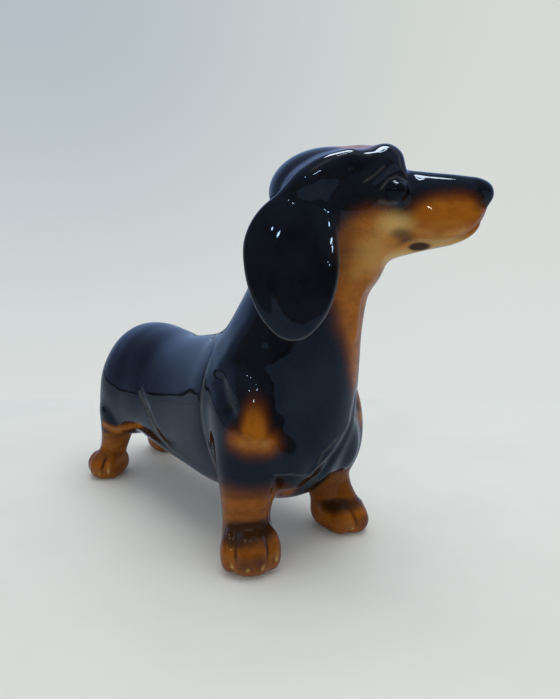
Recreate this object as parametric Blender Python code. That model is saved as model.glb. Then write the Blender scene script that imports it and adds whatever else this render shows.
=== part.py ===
"""Glazed ceramic dachshund, standing with its head turned to its left.

The figurine is slip cast. Its body is two hollow shells luted together at a seam behind the shoulders, its
head is a third shell that sits on the neck, and its legs, ears, tail and eyes are stuck on.

Metres, +Z up, nose end towards +X. The dog is laid out from the point between its front paws, and
stand_on_origin then moves it so that the middle of its box is over the origin.
"""

import math

import bmesh
import bpy
import numpy as np
from mathutils import Matrix, Vector

MM = 0.001

# Driving dimensions.
WALL = 4.0 * MM               # thickness of the cast shells
JOINT_GAP = 0.3 * MM          # film of slip between two pieces
HEAD_AT = Vector((12.0, 0.0, 122.0)) * MM
HEAD_TURN = math.radians(41.0)
VENT_RADIUS = 3.0 * MM
VENT_AT = Vector((-62.0, 0.0, 17.0)) * MM   # on the belly, where its wall is
VENT_DEPTH = 14.0 * MM        # long enough to go through that wall
EYE_AT = Vector((20.5, 9.6, 1.0)) * MM
EYE_RADII = Vector((4.4, 3.4, 4.1)) * MM

AROUND_BODY = 32              # points around a section of the body
AROUND_HEAD = 26
AROUND_LIMB = 16
REAR_RINGS = 15               # rings along each loft
FRONT_RINGS = 12
HEAD_RINGS = 17
THROAT_RINGS = 6
EAR_RINGS = 16
LIMB_RINGS = 10
SQUARENESS = 2.2              # of a section: 2 is an ellipse, and more is squarer
LEG_VOXEL = 2.4 * MM          # grain of the blended legs and paws

# Sections of the body in millimetres: upper point x and z, lower point x and z, half width, shift to the
# left. The planes stand upright along the back and fan around the withers into the neck.
RUMP_TO_SEAM = (
    (-117, 58.5, -117, 31, 14, 0),
    (-113.5, 65.5, -113.5, 28, 19.3, 0),
    (-107.5, 69.8, -107.5, 24.5, 22.8, 0),
    (-98, 71.3, -98, 21.5, 24, 0),
    (-88, 70.4, -88, 19, 24, 0),
    (-73, 68.6, -72, 16, 23.8, 0),
    (-54, 70.8, -50, 13.5, 24.5, 0),
    (-41, 74, -33, 12.5, 26, 0),
    (-35, 76.2, -18, 13.5, 27, 0),
)
SEAM_TO_NECK = (
    (-35, 76.2, -18, 13.5, 27, 0),
    (-31.5, 78.2, -6, 15.5, 27, 0),
    (-28.3, 81, 4, 20, 26.5, 0),
    (-25.3, 85, 11, 27, 25, 0),
    (-22.6, 89, 15.5, 36, 23.5, 0),
    (-20.3, 93, 18, 48, 21.5, 0.2),
    (-18, 97.5, 19.5, 62, 19.5, 0.6),
    (-16, 102, 20.5, 76, 18, 1.2),
    (-12.8, 107, 22, 89, 17, 2.5),
)
NECK_INTO_HEAD = (
    (-12.8, 107, 22, 89, 17, 2.5),
    (-8, 114, 25, 101, 16, 4.5),
    (0, 120, 24, 110, 12, 6),
)
# Sections of the head in its own frame, from the back of the skull to the nose, in the same order.
SKULL_TO_NOSE = (
    (-17, 6, -17, -6, 8, 0),
    (-12, 13, -12, -13, 13, 0),
    (-5, 16, -5, -17, 15.5, 0),
    (3, 16.9, 3, -20, 15.8, 0),
    (10, 16.7, 10, -21, 14.8, 0),
    (15.5, 15.7, 15.5, -21, 13, 0),
    (20.5, 13.2, 20.5, -20, 11.4, 0),
    (25, 8.9, 25, -18.4, 10, 0),
    (33, 7.7, 33, -16, 9, 0),
    (41, 6.7, 41, -13.6, 8, 0),
    (46.5, 5.7, 46.5, -9.8, 6.2, 0),
    (49.3, 4.2, 49.3, -5.5, 4.4, 0),
)
RUMP_DOME = 6.0 * MM
SKULL_DOME = 2.5 * MM
NOSE_DOME = 1.8 * MM

# Muscles that swell out of a section, in millimetres: centre, radii, height. Each is made on both sides.
BODY_MUSCLES = (
    ((-101, 22, 36), (17, 30, 17), 3.2),     # thigh
    ((-84, 23, 38), (18, 30, 10), 1.8),      # stifle
    ((-5, 26, 42), (13, 30, 22), 4.5),       # shoulder
    ((11, 17, 38), (8, 7, 11), 2.2),         # front of the upper arm
)
HEAD_MUSCLES = (
    ((18, 7, 12), (5, 6, 6), 2.2),           # brow
    ((48, 3, 2), (3, 5, 4), 0.8),            # nose pad
    ((12, 13, -12), (9, 8, 8), 1.0),         # cheek
)


# ---------------------------------------------------------------- shapes

def smooth_rows(rows, count):
    """Values read evenly along a curve through a table's rows, by their distance along the first columns."""
    rows = np.array(rows, float)
    middle = np.column_stack([rows[:, 0] + rows[:, 2], rows[:, 1] + rows[:, 3]])
    steps = np.linalg.norm(np.diff(middle, axis=0), axis=1)
    knots = np.concatenate([[0.0], np.cumsum(steps)])
    slopes = np.gradient(rows, knots, axis=0)
    at = np.linspace(0.0, knots[-1], count)
    index = np.clip(np.searchsorted(knots, at) - 1, 0, len(knots) - 2)
    span = (knots[index + 1] - knots[index])[:, None]
    t = ((at - knots[index]) / span[:, 0])[:, None]
    from_start = (2 * t**3 - 3 * t**2 + 1) * rows[index] + (t**3 - 2 * t**2 + t) * span * slopes[index]
    to_end = (3 * t**2 - 2 * t**3) * rows[index + 1] + (t**3 - t**2) * span * slopes[index + 1]
    return from_start + to_end


def section_ring(row, around, grow):
    """Points around one section, made larger by grow, with the middle of the section and its normal."""
    upper = np.array([row[0], 0.0, row[1]]) * MM
    lower = np.array([row[2], 0.0, row[3]]) * MM
    middle = (upper + lower) / 2 + np.array([0.0, row[5] * MM, 0.0])
    half_height = np.linalg.norm(upper - lower) / 2
    up = (upper - lower) / (2 * half_height)
    turn = np.linspace(0.0, 2 * math.pi, around, endpoint=False)
    power = 2.0 / SQUARENESS
    across = np.sign(np.cos(turn)) * np.abs(np.cos(turn)) ** power * (row[4] * MM + grow)
    along = np.sign(np.sin(turn)) * np.abs(np.sin(turn)) ** power * (half_height + grow)
    points = middle + np.outer(across, (0.0, 1.0, 0.0)) + np.outer(along, up)
    normal = np.array([up[2], 0.0, -up[0]])
    return points, middle, normal


def swollen(points, middles, muscles):
    """The points pushed away from the middle of their section where a muscle lies, on both sides."""
    outward = points - middles
    outward /= np.linalg.norm(outward, axis=1)[:, None]
    push = np.zeros(len(points))
    mirrored = np.column_stack([points[:, 0], np.abs(points[:, 1]), points[:, 2]])
    for centre, radii, height in muscles:
        away = (mirrored / MM - np.array(centre)) / np.array(radii)
        push += height * MM * np.exp(-(away**2).sum(axis=1))
    return points + outward * push[:, None]


def rings(rows, count, around, grow=0.0, muscles=(), start_dome=0.0, end_dome=0.0,
          start_gap=0.0, end_gap=0.0):
    """Rings along a loft. A dome rounds off an end; a gap moves an end's ring back along its normal."""
    result = []
    table = smooth_rows(rows, count)
    for index, row in enumerate(table):
        points, middle, normal = section_ring(row, around, grow)
        points = swollen(points, middle, muscles)
        if index == 0:
            points = points + normal * start_gap
            first = (points, middle, normal)
        if index == count - 1:
            points = points - normal * end_gap
            last = (points, middle, normal)
        result.append(points)
    if start_dome:
        result = dome(first, -start_dome - grow)[::-1] + result
    if end_dome:
        result = result + dome(last, end_dome + grow)
    return result


def dome(ring, height):
    """Rings that round off an end in a quarter of an ellipse."""
    points, middle, normal = ring
    result = []
    for angle in np.linspace(0.0, math.pi / 2, 6)[1:-1]:
        result.append(middle + (points - middle) * math.cos(angle) + normal * height * math.sin(angle))
    return result


def skin(name, ring_list, wrap=False):
    """A closed mesh over a list of rings, capped at both ends, or joined end to end when wrap is set."""
    bm = bmesh.new()
    loops = [[bm.verts.new(point) for point in ring] for ring in ring_list]
    pairs = list(zip(loops[:-1], loops[1:]))
    if wrap:
        pairs.append((loops[-1], loops[0]))
    for near, far in pairs:
        for index in range(len(near)):
            after = (index + 1) % len(near)
            bm.faces.new((near[index], near[after], far[after], far[index]))
    if not wrap:
        bm.faces.new(loops[0])
        bm.faces.new(loops[-1][::-1])
        caps = [face for face in bm.faces if len(face.verts) > 4]
        bmesh.ops.triangulate(bm, faces=caps)
    bmesh.ops.recalc_face_normals(bm, faces=bm.faces)
    mesh = bpy.data.meshes.new(name)
    bm.to_mesh(mesh)
    bm.free()
    return mesh


def head_frame():
    return Matrix.Translation(HEAD_AT) @ Matrix.Rotation(HEAD_TURN, 4, "Z")


# ---------------------------------------------------------------- objects

def material(name, colour, roughness=0.12):
    """Clear glaze over the airbrushed colour."""
    glaze = bpy.data.materials.new(name)
    glaze.use_nodes = True
    surface = glaze.node_tree.nodes["Principled BSDF"]
    surface.inputs["Base Color"].default_value = (*colour, 1.0)
    surface.inputs["Roughness"].default_value = roughness
    surface.inputs["Metallic"].default_value = 0.0
    glaze.diffuse_color = (*colour, 1.0)
    return glaze


BLUE_BLACK = (0.022, 0.028, 0.036)
DEEP_BLACK = (0.006, 0.006, 0.007)
TAN = (0.36, 0.145, 0.03)


def add(name, mesh, colour, roughness=0.12):
    """A named piece of the figurine, shaded smooth except at its cut edges."""
    piece = bpy.data.objects.new(name, mesh)
    bpy.context.scene.collection.objects.link(piece)
    mesh.materials.append(material(name + "_glaze", colour, roughness))
    mesh.shade_smooth()
    mesh.set_sharp_from_angle(angle=math.radians(40.0))
    return piece


def guide(name, mesh):
    """A helper shape that cuts or joins, and isn't part of the figurine."""
    shape = bpy.data.objects.new(name, mesh)
    bpy.context.scene.collection.objects.link(shape)
    shape.hide_render = True
    shape.display_type = "WIRE"
    return shape


def boolean(piece, other, operation):
    step = piece.modifiers.new(other.name, "BOOLEAN")
    step.operation = operation
    step.solver = "EXACT"
    step.object = other


def ellipsoid(name, matrix, radii, segments=14, stacks=8):
    bm = bmesh.new()
    shape = matrix @ Matrix.Diagonal((*radii, 1.0))
    bmesh.ops.create_uvsphere(bm, u_segments=segments, v_segments=stacks, radius=1.0, matrix=shape)
    mesh = bpy.data.meshes.new(name)
    bm.to_mesh(mesh)
    bm.free()
    return mesh


# ---------------------------------------------------------------- body

def body_form():
    """The closed outside of the body, a joint's gap larger, which trims the pieces stuck on to it."""
    rear = rings(RUMP_TO_SEAM, REAR_RINGS, AROUND_BODY, JOINT_GAP, BODY_MUSCLES, start_dome=RUMP_DOME)
    front = rings(SEAM_TO_NECK, FRONT_RINGS, AROUND_BODY, JOINT_GAP, BODY_MUSCLES)
    return guide("body_form", skin("body_form", rear + front[1:]))


def rear_body_shell():
    """Barrel, rump and thighs: a hollow casting, open at the seam, with a vent hole under the belly."""
    ends = {"start_dome": RUMP_DOME, "end_gap": JOINT_GAP / 2}
    outside = rings(RUMP_TO_SEAM, REAR_RINGS, AROUND_BODY, 0.0, BODY_MUSCLES, **ends)
    inside = rings(RUMP_TO_SEAM, REAR_RINGS, AROUND_BODY, -WALL, BODY_MUSCLES, **ends)
    shell = add("rear_body_shell", skin("rear_body_shell", outside + inside[::-1]), BLUE_BLACK)
    bm = bmesh.new()
    bmesh.ops.create_cone(bm, cap_ends=True, segments=20, radius1=VENT_RADIUS, radius2=VENT_RADIUS,
                          depth=VENT_DEPTH, matrix=Matrix.Translation(VENT_AT))
    mesh = bpy.data.meshes.new("vent_hole")
    bm.to_mesh(mesh)
    bm.free()
    boolean(shell, guide("vent_hole", mesh), "DIFFERENCE")
    return shell


def front_body_shell():
    """Chest, shoulders and neck: a hollow casting, open at the seam and at the top of the neck."""
    gaps = {"start_gap": JOINT_GAP / 2, "end_gap": JOINT_GAP / 2}
    outside = rings(SEAM_TO_NECK, FRONT_RINGS, AROUND_BODY, 0.0, BODY_MUSCLES, **gaps)
    inside = rings(SEAM_TO_NECK, FRONT_RINGS, AROUND_BODY, -WALL, BODY_MUSCLES, **gaps)
    return add("front_body_shell", skin("front_body_shell", outside + inside[::-1], wrap=True), BLUE_BLACK)


# ---------------------------------------------------------------- head

def skull_mesh(name, grow):
    mesh = skin(name, rings(SKULL_TO_NOSE, HEAD_RINGS, AROUND_HEAD, grow, HEAD_MUSCLES,
                            start_dome=SKULL_DOME, end_dome=NOSE_DOME))
    mesh.transform(head_frame())
    return mesh


def throat_mesh(name, grow, start_gap):
    return skin(name, rings(NECK_INTO_HEAD, THROAT_RINGS, AROUND_HEAD, grow, start_gap=start_gap))


def head_form():
    """The closed outside of the head and throat, a joint's gap larger, which trims the ears."""
    form = guide("head_form", skull_mesh("head_form", JOINT_GAP))
    boolean(form, guide("throat_form", throat_mesh("throat_form", JOINT_GAP, 0.0)), "UNION")
    return form


THROAT_CUT = 1.0 * MM         # how far the throat's hollow runs out past its open end


def head_shell():
    """Skull, muzzle and throat: a hollow casting, open at the neck, with a shallow socket for each eye."""
    shell = add("head_shell", skull_mesh("head_shell", 0.0), BLUE_BLACK)
    boolean(shell, guide("throat", throat_mesh("throat", 0.0, JOINT_GAP / 2)), "UNION")
    boolean(shell, guide("skull_hollow", skull_mesh("skull_hollow", -WALL)), "DIFFERENCE")
    boolean(shell, guide("throat_hollow", throat_mesh("throat_hollow", -WALL, -THROAT_CUT)), "DIFFERENCE")
    for side, word in ((1, "left"), (-1, "right")):
        socket = ellipsoid("socket_" + word, eye_frame(side), EYE_RADII + Vector((1, 1, 1)) * JOINT_GAP)
        boolean(shell, guide("socket_" + word, socket), "DIFFERENCE")
    return shell


def eye_frame(side):
    return head_frame() @ Matrix.Translation((EYE_AT.x, side * EYE_AT.y, EYE_AT.z))


def eye(side, word):
    return add("eye_" + word, ellipsoid("eye_" + word, eye_frame(side), EYE_RADII), DEEP_BLACK, 0.05)


EAR_THICKNESS = 3.6 * MM
EAR_ROOT_OUT = 12.0           # from the middle of the head to the root of an ear, in millimetres
EAR_HANGS_OUT = 19.0          # and to the hanging part
EAR_CURL = 1.8                # how far its edges curl in, in millimetres
EAR_TIP = 0.5                 # half its thickness at the very ends, in millimetres
EAR_FLARE = {"left": 17.5, "right": 2.5}    # how far the turned neck pushes the tip out, in millimetres
# Middle line of an ear in the head's frame, in millimetres: forward, up, half width.
EAR_SPINE = (
    (0.5, 8.5, 2.2),
    (-3.3, 4, 5.8),
    (-8, -4, 11.8),
    (-10, -13, 14.8),
    (-10, -20, 15.2),
    (-9.8, -27, 14.2),
    (-9.6, -33.3, 12),
    (-9.4, -38.7, 8.2),
    (-9.2, -42.6, 3.8),
    (-9, -43.7, 1.4),
)


def ear(side, word, trims):
    """A leaf-shaped slab that hangs from the skull, bowed outwards and curled in at its edges."""
    spine = np.array(EAR_SPINE, float)
    columns = [spine[:, 0], spine[:, 1], spine[:, 0], spine[:, 1], spine[:, 2]]
    table = smooth_rows(np.column_stack(columns), EAR_RINGS)
    turn = np.linspace(0.0, 2 * math.pi, AROUND_LIMB, endpoint=False)
    ring_list = []
    for index, row in enumerate(table):
        down = index / (len(table) - 1)
        edge = np.cos(turn)
        bow = math.sin(min(1.0, 1.6 * down) * math.pi / 2)
        sideways = EAR_ROOT_OUT + (EAR_HANGS_OUT - EAR_ROOT_OUT) * bow
        sideways = sideways + EAR_FLARE[word] * down**1.3 - EAR_CURL * edge**2 - 0.2 * edge
        thick = np.sin(turn) * (EAR_THICKNESS / MM / 2) * (1 - abs(2 * down - 1) ** 8) ** 0.5
        if index in (0, len(table) - 1):
            thick = np.sin(turn) * EAR_TIP
        ring_list.append(np.column_stack([row[0] + edge * row[4], side * (sideways + thick),
                                          row[1] + 0 * edge]) * MM)
    mesh = skin("ear_" + word, ring_list)
    mesh.transform(head_frame())
    piece = add("ear_" + word, mesh, BLUE_BLACK)
    for trim in trims:
        boolean(piece, trim, "DIFFERENCE")
    return piece


# ---------------------------------------------------------------- limbs

def limb_mesh(name, stations):
    """A round rod with domed ends through stations of x, y, z and radius, in millimetres."""
    stations = np.array(stations, float)
    path = smooth_rows(np.column_stack([stations[:, 0], stations[:, 2], stations[:, 0], stations[:, 2],
                                        stations[:, 1], stations[:, 3]]), LIMB_RINGS)
    centres = np.column_stack([path[:, 0], path[:, 4], path[:, 1]]) * MM
    radii = path[:, 5] * MM
    headings = np.gradient(centres, axis=0)
    turn = np.linspace(0.0, 2 * math.pi, AROUND_LIMB, endpoint=False)
    ring_list = []
    for centre, heading, radius in zip(centres, headings, radii):
        axis = Vector(heading).normalized()
        across = axis.orthogonal().normalized() if abs(axis.y) > 0.9 else axis.cross((0, 1, 0)).normalized()
        other = axis.cross(across)
        circle = np.outer(np.cos(turn), across) + np.outer(np.sin(turn), other)
        ring_list.append(centre + circle * radius)
    first = (ring_list[0], centres[0], np.array(Vector(headings[0]).normalized()))
    last = (ring_list[-1], centres[-1], np.array(Vector(headings[-1]).normalized()))
    return skin(name, dome(first, -radii[0])[::-1] + ring_list + dome(last, radii[-1]))


FLOOR_SIZE = Vector((400.0, 200.0, 40.0)) * MM
FLOOR_AT = Vector((-30.0, 0.0, -20.0)) * MM   # its top is level with the soles


def floor_block():
    bm = bmesh.new()
    size = Matrix.Diagonal((*FLOOR_SIZE, 1.0))
    bmesh.ops.create_cube(bm, size=1.0, matrix=Matrix.Translation(FLOOR_AT) @ size)
    mesh = bpy.data.meshes.new("floor_block")
    bm.to_mesh(mesh)
    bm.free()
    return guide("floor_block", mesh)


# Shares of the paw's length, width and height.
PAD_AT = (-0.04, 0.0, 0.40)
PAD_RADII = (0.44, 0.47, 0.62)
TOE_RADII = (0.27, 0.15, 0.47)
TOE_FORWARD = 0.20
TOE_ARC = 0.045               # how far the outer toes fall back
TOE_SPACING = 0.225
TOE_RISE = 0.36


def leg(name, stations, paw_at, paw_turn, paw_size, trims):
    """A leg and its paw blended in one piece of clay: a rod, a pad and four toes, cut flat at the sole."""
    size = np.array(paw_size) * MM
    bm = bmesh.new()
    bm.from_mesh(limb_mesh(name + "_rod", stations))
    paw = Matrix.Translation(Vector((*paw_at, 0.0)) * MM) @ Matrix.Rotation(math.radians(paw_turn), 4, "Z")
    pad = paw @ Matrix.Translation(PAD_AT * size) @ Matrix.Diagonal((*(PAD_RADII * size), 1.0))
    bmesh.ops.create_uvsphere(bm, u_segments=16, v_segments=10, radius=1.0, matrix=pad)
    for place in (-1.5, -0.5, 0.5, 1.5):
        toe_at = (TOE_FORWARD - TOE_ARC * place**2, TOE_SPACING * place, TOE_RISE)
        toe = paw @ Matrix.Translation(toe_at * size) @ Matrix.Diagonal((*(TOE_RADII * size), 1.0))
        bmesh.ops.create_uvsphere(bm, u_segments=14, v_segments=10, radius=1.0, matrix=toe)
    mesh = bpy.data.meshes.new(name)
    bm.to_mesh(mesh)
    bm.free()
    piece = add(name, mesh, TAN)
    blend = piece.modifiers.new("blended_clay", "REMESH")
    blend.mode = "VOXEL"
    blend.voxel_size = LEG_VOXEL
    blend.use_smooth_shade = True
    for trim in trims:
        boolean(piece, trim, "DIFFERENCE")
    return piece


RIGHT_FORE_PAW = (25.0, 20.0, 15.5)         # length, width, height in millimetres
LEFT_FORE_PAW = (22.5, 17.5, 12.5)
HIND_PAW = (20.0, 16.0, 12.5)


def legs(body, ground):
    trims = (ground, body)
    leg("foreleg_right", ((-6.5, -15.5, 34, 9.3), (-5.2, -20.4, 25, 8.8), (-3, -22.3, 10, 7.8)),
        (0.7, -24.2), -35, RIGHT_FORE_PAW, trims)
    leg("foreleg_left", ((-7.5, 13.5, 35, 9.5), (-6.2, 17.6, 25, 8.8), (-3, 19.2, 10, 7.5)),
        (1.2, 19.5), 17, LEFT_FORE_PAW, trims)
    leg("hindleg_right", ((-103, -17, 36, 8.6), (-105, -18.6, 25, 7.2), (-107.5, -20, 9, 5.5)),
        (-107.3, -22.6), -72, HIND_PAW, trims)
    leg("hindleg_left", ((-107, 16, 36, 8.6), (-114, 16.5, 25, 7.4), (-121.5, 16.5, 9, 5.9)),
        (-122, 16.4), 18, HIND_PAW, trims)


def tail(body):
    """Hangs close behind the rump and swings to the left thigh, out of harm's way."""
    stations = ((-114, 0, 55, 5.5), (-121, 2.5, 52, 4.8), (-125.5, 8, 44.5, 4.2),
                (-126.5, 13, 36.5, 3.5), (-125.5, 17, 30.5, 2.4))
    piece = add("tail", limb_mesh("tail", stations), BLUE_BLACK)
    boolean(piece, body, "DIFFERENCE")
    return piece


# ---------------------------------------------------------------- the figurine

def clear_scene():
    for old in list(bpy.data.objects):
        bpy.data.objects.remove(old)


def stand_on_origin():
    """Parents everything to one point and moves that so that the middle of the box is over the origin."""
    bpy.context.view_layer.update()
    graph = bpy.context.evaluated_depsgraph_get()
    corners = []
    for piece in bpy.data.objects:
        if not piece.hide_render:
            shaped = piece.evaluated_get(graph)
            corners += [piece.matrix_world @ Vector(corner) for corner in shaped.bound_box]
    middle = [(min(c[axis] for c in corners) + max(c[axis] for c in corners)) / 2 for axis in (0, 1)]
    stand = bpy.data.objects.new("stand_point", None)
    bpy.context.scene.collection.objects.link(stand)
    for piece in bpy.data.objects:
        if piece is not stand:
            piece.parent = stand
    stand.location = (-middle[0], -middle[1], 0.0)


def main():
    clear_scene()
    body = body_form()
    head = head_form()
    rear_body_shell()
    front_body_shell()
    head_shell()
    for side, word in ((1, "left"), (-1, "right")):
        ear(side, word, (head, body))
        eye(side, word)
    legs(body, floor_block())
    tail(body)
    stand_on_origin()


main()
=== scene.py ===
"""Looks of the glazed ceramic dachshund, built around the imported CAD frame.

The dog is modelled as one signed distance field, the way a modeller works soft clay: lofted body, muscles,
limbs and ears blended into each other, then creases carved in. Its surface is cut along the joints of the
cast pieces, painted as with an airbrush, and glazed.

The field is laid out in millimetres from the point between the front paws, +X forward, +Y to the dog's left.
"""
import functools
import math

import bpy
import numpy as np
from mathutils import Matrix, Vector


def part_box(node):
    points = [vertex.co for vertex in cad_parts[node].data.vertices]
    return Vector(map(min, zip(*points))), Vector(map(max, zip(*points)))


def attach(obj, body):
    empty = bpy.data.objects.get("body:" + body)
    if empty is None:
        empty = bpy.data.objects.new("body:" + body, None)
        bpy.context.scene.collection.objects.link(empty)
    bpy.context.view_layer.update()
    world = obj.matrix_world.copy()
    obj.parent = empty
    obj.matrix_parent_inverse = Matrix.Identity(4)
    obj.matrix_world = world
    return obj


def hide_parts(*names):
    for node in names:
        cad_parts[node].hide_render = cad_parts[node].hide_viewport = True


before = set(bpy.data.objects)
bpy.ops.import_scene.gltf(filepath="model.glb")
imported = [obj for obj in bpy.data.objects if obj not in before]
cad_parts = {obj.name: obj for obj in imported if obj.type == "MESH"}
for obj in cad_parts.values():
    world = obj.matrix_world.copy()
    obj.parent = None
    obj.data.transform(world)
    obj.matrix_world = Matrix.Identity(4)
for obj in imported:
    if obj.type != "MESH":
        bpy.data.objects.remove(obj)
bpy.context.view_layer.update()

import openvdb
from mathutils import Matrix, Vector

MM = 0.001
GRAIN = 0.55        # voxel of the clay, in millimetres
REACH = 12.0                               # distances beyond this aren't told apart
MARGIN = 2.0                               # room left around a shape when it is added to the clay

# Layout of the dog, in millimetres.
HEAD_AT = np.array([12.0, 0.0, 122.0])
HEAD_TURN = 41.0                           # degrees to the dog's left
EYE_AT = np.array([20.5, 9.6, 1.0])        # in the head's frame, on the left side
EYE_SUNK = 1.2                             # how far inside of there the middle of the eyeball lies
EYE_RAISED = 0.2
EYE_RADII = (4.1, 4.2, 3.5)

# Body sections: upper point x and z, lower point x and z, half width, shift to the left.
BODY_SECTIONS = (
    (-117, 58.5, -117, 31, 14, 0),
    (-113.5, 65.5, -113.5, 28, 19.3, 0),
    (-107.5, 69.8, -107.5, 24.5, 22.8, 0),
    (-98, 71.3, -98, 21.5, 24, 0),
    (-88, 70.4, -88, 19, 24, 0),
    (-73, 68.6, -72, 16, 23.8, 0),
    (-54, 70.8, -50, 13.5, 24.5, 0),
    (-41, 74, -33, 12.5, 26, 0),
    (-35, 76.2, -18, 13.5, 27, 0),
    (-31.5, 78.2, -6, 15.5, 27, 0),
    (-28.3, 81, 4, 20, 26.5, 0),
    (-25.3, 85, 11, 27, 25, 0),
    (-22.6, 89, 15.5, 36, 23.5, 0),
    (-20.3, 93, 18, 48, 21.5, 0.2),
    (-18, 97.5, 19.5, 62, 19.5, 0.6),
    (-16, 102, 20.5, 76, 18, 1.2),
    (-12.8, 107, 22, 89, 17, 2.5),
    (-8, 114, 25, 101, 16, 4.5),
    (0, 120, 24, 110, 12, 6),
)
BELLY_SAG = 0.07                           # how far below the middle of its height the trunk is widest
SEAM = ((-35, 76.2), (-18, 13.5))          # upper and lower point of the joint behind the shoulders
NECK_JOINT = ((-12.8, 107), (22, 89))      # and of the joint under the head
# Muzzle sections in the head's frame: x, middle z, half width, up, down.
MUZZLE_SECTIONS = (
    (12, -4, 12, 14, 14),
    (19, -5, 10.6, 13.4, 13),
    (25, -5, 8.4, 13.2, 11.5),
    (32, -4.5, 7.0, 12.0, 9.6),
    (39, -4, 6.0, 10.8, 8.4),
    (45, -2.6, 5.0, 8.6, 5.8),
)
# Ear: forward, up, half width of its middle line in the head's frame.
EAR_SPINE = (
    (0.5, 8.5, 2.2),
    (-3.3, 4, 5.8),
    (-8, -4, 11.6),
    (-9.8, -13, 14.3),
    (-9.6, -20, 14.5),
    (-9.3, -27, 13.4),
    (-9, -33.3, 11.2),
    (-8.9, -38.7, 7.6),
    (-8.8, -42.2, 3.6),
    (-8.7, -43.2, 1.4),
)
EAR_THICKNESS = 3.4
# How far the turned neck pushes the tips of the left and the right ear out.
EAR_FLARE = {1: 16.0, -1: 2.5}
# Tail: x, y, z and radius.
TAIL = ((-114, 0, 55, 5.5), (-121, 2.5, 52, 4.8), (-125.5, 8, 44.5, 4.2), (-126.5, 13, 36.5, 3.5),
        (-125.5, 17, 30.5, 2.4))


# ---------------------------------------------------------------- field tools

class Clay:
    """A block of signed distances, negative inside the clay, and the ways to add to it and carve it."""

    def __init__(self, low, high):
        self.first = np.floor(np.array(low) / GRAIN).astype(int)
        self.size = np.ceil(np.array(high) / GRAIN).astype(int) - self.first + 1
        self.d = np.full(self.size, REACH, np.float32)

    def copy(self):
        """The clay as it is now, for finding later what was added to it."""
        twin = Clay.__new__(Clay)
        twin.first, twin.size, twin.d = self.first, self.size, self.d.copy()
        return twin

    def region(self, low, high, pad):
        """The part of the block around two corners, and the coordinates of its voxels."""
        start = np.clip(np.floor((np.array(low) - pad) / GRAIN).astype(int) - self.first, 0, self.size)
        stop = np.clip(np.ceil((np.array(high) + pad) / GRAIN).astype(int) - self.first + 1, 0, self.size)
        window = tuple(slice(a, b) for a, b in zip(start, stop))
        axes = [((np.arange(a, b) + o) * GRAIN).astype(np.float32)
                for a, b, o in zip(start, stop, self.first)]
        return window, np.meshgrid(*axes, indexing="ij", sparse=True)

    def heights(self):
        """The height of each layer of the block above the floor."""
        return ((np.arange(self.size[2]) + self.first[2]) * GRAIN).astype(np.float32)[None, None, :]

    def add(self, shape, blend):
        """Adds a shape, (low corner, high corner, distance function), with a fillet of about blend."""
        low, high, distance = shape
        window, xyz = self.region(low, high, blend + MARGIN)
        self.d[window] = union(self.d[window], distance(*xyz).astype(np.float32), blend)

    def add_mesh(self, points, faces, blend):
        """Adds a closed mesh of quads; blend may differ from voxel to voxel."""
        grid = openvdb.FloatGrid.createLevelSetFromPolygons(
            points.astype(np.float32), quads=faces.astype(np.uint32),
            transform=openvdb.createLinearTransform(GRAIN), halfWidth=REACH / GRAIN)
        other = np.full(self.size, REACH, np.float32)
        grid.copyToArray(other, ijk=tuple(int(v) for v in self.first))
        self.d = union(self.d, other, blend)

    def crease(self, path, width, depth):
        """Pushes the surface in along a path by depth, or out where depth is negative."""
        path = np.array(path, float)
        window, xyz = self.region(path.min(axis=0), path.max(axis=0), 3 * width)
        away = path_distance(xyz, path)
        self.d[window] += (depth * np.exp(-(away / width) ** 2)).astype(np.float32)

    def stand(self, blend):
        """Cuts the soles flat at the floor, with edges rounded by blend."""
        self.d = -union(-self.d, np.broadcast_to(self.heights(), self.d.shape), blend)

    def soften(self, sigma):
        """Rounds everything off a little, as the glaze does."""
        reach = int(3 * sigma + 0.5)
        weights = np.exp(-0.5 * (np.arange(-reach, reach + 1) / sigma) ** 2)
        weights = (weights / weights.sum()).astype(np.float32)
        for axis in range(3):
            padding = [(reach, reach) if a == axis else (0, 0) for a in range(3)]
            padded = np.pad(self.d, padding, mode="edge")
            total = np.zeros_like(self.d)
            for index, weight in enumerate(weights):
                window = [slice(None)] * 3
                window[axis] = slice(index, index + self.d.shape[axis])
                total += weight * padded[tuple(window)]
            self.d = total


def union(a, b, blend):
    """The smaller of two distances, rounded where they are within blend of each other."""
    if np.all(blend == 0):
        return np.minimum(a, b)
    near = np.maximum(blend - np.abs(a - b), 0) / blend
    return np.minimum(a, b) - near * near * near * (blend / 6)


def step(value, start, stop):
    """Nought before start, one after stop, with a smooth way between them."""
    t = np.clip((value - start) / (stop - start), 0, 1)
    return t * t * (3 - 2 * t)


def beside(rel, along):
    """Distance to a straight line, given from its start, and how far along it that is, as a share."""
    length = float(along @ along)
    t = np.clip(sum(r * float(a) for r, a in zip(rel, along)) / length, 0, 1)
    return np.sqrt(sum((r - t * float(a)) ** 2 for r, a in zip(rel, along))), t


def path_distance(xyz, path):
    """Distance to a line through points, on a grid."""
    return functools.reduce(np.minimum, (
        beside([axis - float(s) for axis, s in zip(xyz, start)], end - start)[0]
        for start, end in zip(path[:-1], path[1:])))


def axes_of(yaw=0.0, pitch=0.0, roll=0.0):
    """Rows are a turned frame's own axes; a positive pitch lifts its front."""
    turn = Matrix.Rotation(math.radians(yaw), 3, "Z")
    turn = turn @ Matrix.Rotation(math.radians(-pitch), 3, "Y") @ Matrix.Rotation(math.radians(roll), 3, "X")
    return np.array(turn).T


HEAD_AXES = axes_of(HEAD_TURN)


def in_head(x, y, z):
    """A point of the head's frame, in the dog's layout."""
    return HEAD_AT + HEAD_AXES.T @ np.array([x, y, z], float)


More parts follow.
